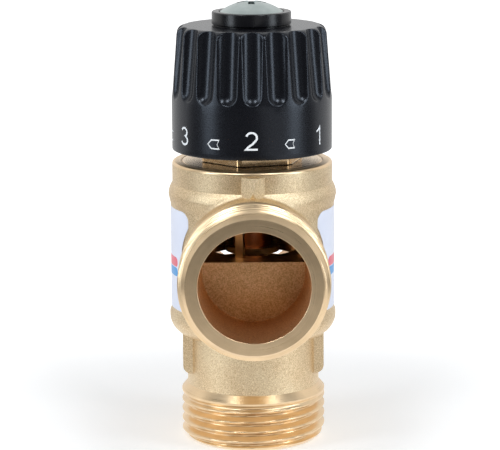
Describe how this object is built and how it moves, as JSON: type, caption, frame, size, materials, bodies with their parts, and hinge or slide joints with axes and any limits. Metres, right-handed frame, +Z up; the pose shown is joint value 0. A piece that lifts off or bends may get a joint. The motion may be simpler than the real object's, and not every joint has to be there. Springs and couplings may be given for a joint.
{
  "type": "thermostatic mixing valve",
  "caption": "Brass water mixing valve with male side and bottom ports, wax element, shuttle, hexagonal bonnet and a black fluted setting knob.",
  "frame": {"origin": "centre of the bottom port's end face, on the valve's axis", "axes": "+Z up along the valve and knob axis, the in-line side ports along Y with the mixed outlet towards -Y, labels on the +X and -X sides"},
  "size_m": [0.0386, 0.084, 0.1013],
  "materials": {
    "cast_brass": "blasted casting with machined port faces and threads",
    "turned_brass": "machined, bright",
    "copper": "drawn copper, slightly darkened",
    "spring_steel": "plain stainless",
    "plated_steel": "zinc plated, satin",
    "black_plastic": "moulded, semi-gloss black with white print",
    "label_vinyl": "white sticker with a red and a blue stripe",
    "seal_rubber": "black rubber",
    "wax": "wax with copper powder"
  },
  "bodies": {
    "housing": {"valve_body": "cast_brass", "bonnet": "turned_brass", "guide_cage": "turned_brass", "hot_seat": "turned_brass", "web_seal": "seal_rubber", "bonnet_seal": "seal_rubber", "label_right": "label_vinyl", "label_left": "label_vinyl"},
    "element": {"element_cup": "copper", "wax_charge": "wax", "element_guide": "turned_brass", "overtravel_plunger": "turned_brass", "overtravel_spring": "spring_steel"},
    "stem": {"spindle": "turned_brass", "plunger_clip": "spring_steel", "spindle_seal_lower": "seal_rubber", "spindle_seal_upper": "seal_rubber", "knob": "black_plastic", "clamp_collar": "black_plastic", "knob_screw": "plated_steel"},
    "slide_valve": {"element_piston": "spring_steel", "shuttle": "turned_brass", "return_spring": "spring_steel"}
  },
  "joints": [
    {"name": "stem_rise", "type": "slide", "parent": "housing", "child": "element", "axis": [0, 0, 1], "range_m": [-0.00031, 0.00123], "stiffness_N_per_m": 100, "springref_m": 0.0062},
    {"name": "knob_turn", "type": "hinge", "parent": "element", "child": "stem", "pos_m": [0, 0, 0.0676], "axis": [0, 0, 1], "range_deg": [-55.5, 222]},
    {"name": "thermal_stroke", "type": "slide", "parent": "element", "child": "slide_valve", "axis": [0, 0, -1], "range_m": [0, 0.0015], "stiffness_N_per_m": 800, "springref_m": -0.0015, "deforming": ["return_spring"]}
  ],
  "couplings": [
    {"joint": "knob_turn", "follows": "stem_rise", "rad_per_m": 3141.6}
  ]
}
